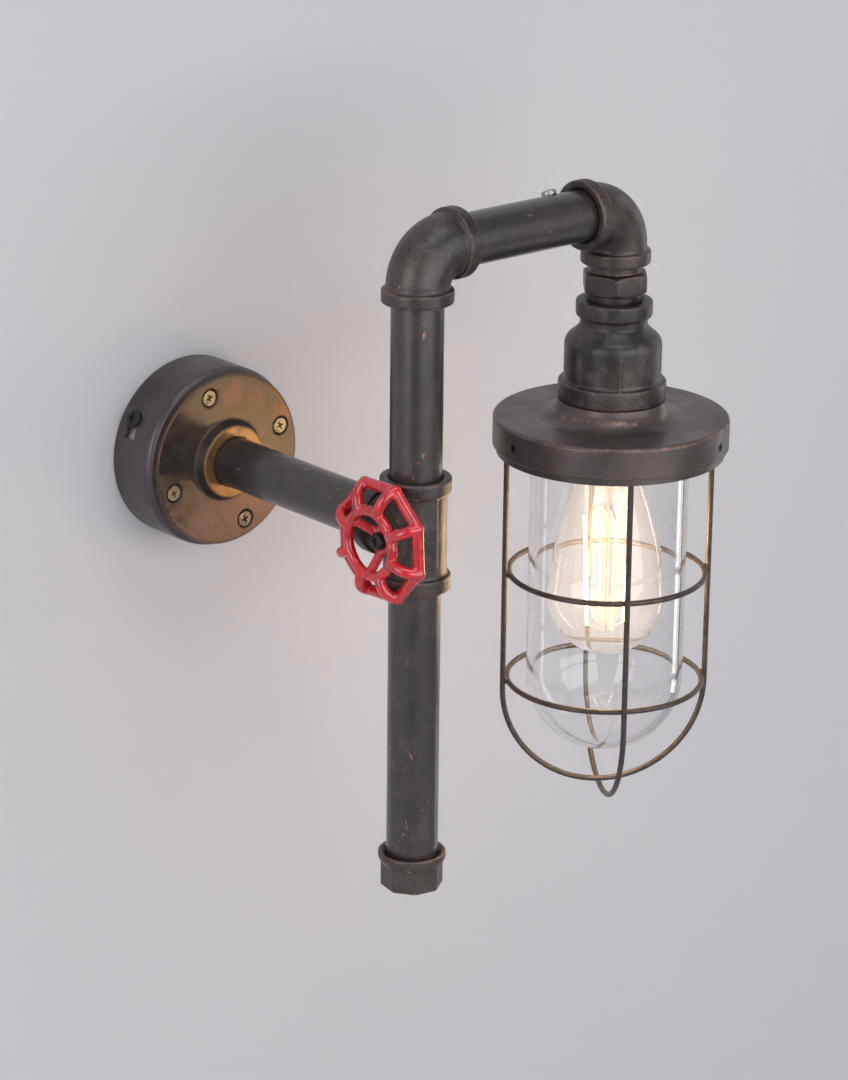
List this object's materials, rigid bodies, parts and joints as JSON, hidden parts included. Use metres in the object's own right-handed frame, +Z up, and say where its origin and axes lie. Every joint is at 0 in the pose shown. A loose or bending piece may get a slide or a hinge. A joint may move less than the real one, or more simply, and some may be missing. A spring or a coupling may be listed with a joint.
{
  "type": "industrial pipe wall light",
  "caption": "Wall light built from dark pipe and fittings, with a red handwheel, a caged clear glass jar and a screw-in bulb hanging from a bent arm.",
  "frame": {"origin": "centre of the wall bracket's back face, on the wall", "axes": "+Z up; +Y into the wall, so the light stands out along -Y; the arm runs along +X"},
  "size_m": [0.2473, 0.2506, 0.3595],
  "materials": {
    "antique_iron": "satin black-brown patina with coppery rub-through",
    "bronzed_iron": "bronze-brown patina, worn copper edges",
    "cage_steel": "dark bronze wire",
    "red_enamel": "gloss red enamel over a casting",
    "screw_steel": "blackened steel with bright wear",
    "bright_steel": "bright nickel",
    "zinc_steel": "zinc plated",
    "brass": "plain brass",
    "clear_glass": "clear pressed glass",
    "bulb_glass": "clear blown glass",
    "stem_glass": "drawn glass",
    "black_glass": "black vitrite",
    "filament": "phosphor-coated glowing stick",
    "porcelain": "glazed porcelain",
    "rubber": "soft black rubber",
    "block_plastic": "moulded nylon",
    "cable_sheath": "silicone sheath",
    "live_insulation": "brown insulation",
    "neutral_insulation": "blue insulation",
    "earth_insulation": "green and yellow insulation"
  },
  "bodies": {
    "root": {"wall_bracket": "zinc_steel", "side_screws": "screw_steel", "earth_screw": "brass", "earth_lug": "brass", "earth_lead": "earth_insulation", "terminal_block": "block_plastic", "terminal_screws": "screw_steel", "canopy": "antique_iron", "floor_flange": "bronzed_iron", "flange_screws": "screw_steel", "flange_nuts": "zinc_steel", "cable_grommet": "rubber", "inner_cable": "cable_sheath", "live_core": "live_insulation", "neutral_core": "neutral_insulation", "wall_pipe": "antique_iron", "tee": "antique_iron", "lower_pipe": "antique_iron", "bottom_cap": "antique_iron", "upper_pipe": "antique_iron", "rear_elbow": "antique_iron", "top_pipe": "antique_iron", "arm_lock_screw": "bright_steel", "front_elbow": "antique_iron", "handwheel_stud": "zinc_steel", "handwheel_washer": "zinc_steel", "handwheel_screw": "screw_steel", "hex_nipple": "antique_iron", "bell_reducer": "antique_iron", "shade_cap": "antique_iron", "rim_screws": "screw_steel", "cage_hoop": "cage_steel", "cage_upper_ring": "cage_steel", "cage_lower_ring": "cage_steel", "cage_side_loop": "cage_steel", "cage_front_loop": "cage_steel", "jar_gasket": "rubber", "lampholder": "porcelain", "screw_shell": "brass", "centre_contact": "brass", "holder_stud": "zinc_steel", "holder_nuts": "zinc_steel"},
    "handwheel": {"handwheel": "red_enamel"},
    "bulb": {"bulb_glass": "bulb_glass", "bulb_base": "brass", "bulb_insulator": "black_glass", "bulb_contact": "bright_steel", "bulb_stem": "stem_glass", "bulb_filaments": "filament", "filament_wires": "bright_steel"},
    "glass_jar": {"glass_jar": "clear_glass"}
  },
  "joints": [
    {"name": "handwheel_turn", "type": "hinge", "parent": "root", "child": "handwheel", "pos_m": [0, -0.1883, 0], "axis": [-1, 0, 0], "continuous": true},
    {"name": "bulb_turn", "type": "hinge", "parent": "root", "child": "bulb", "pos_m": [0.1357, -0.1883, 0], "axis": [0, 0, -1], "range_deg": [0, 900]},
    {"name": "jar_turn", "type": "hinge", "parent": "root", "child": "glass_jar", "pos_m": [0.1357, -0.1883, 0], "axis": [0, 0, -1], "range_deg": [0, 450]}
  ]
}
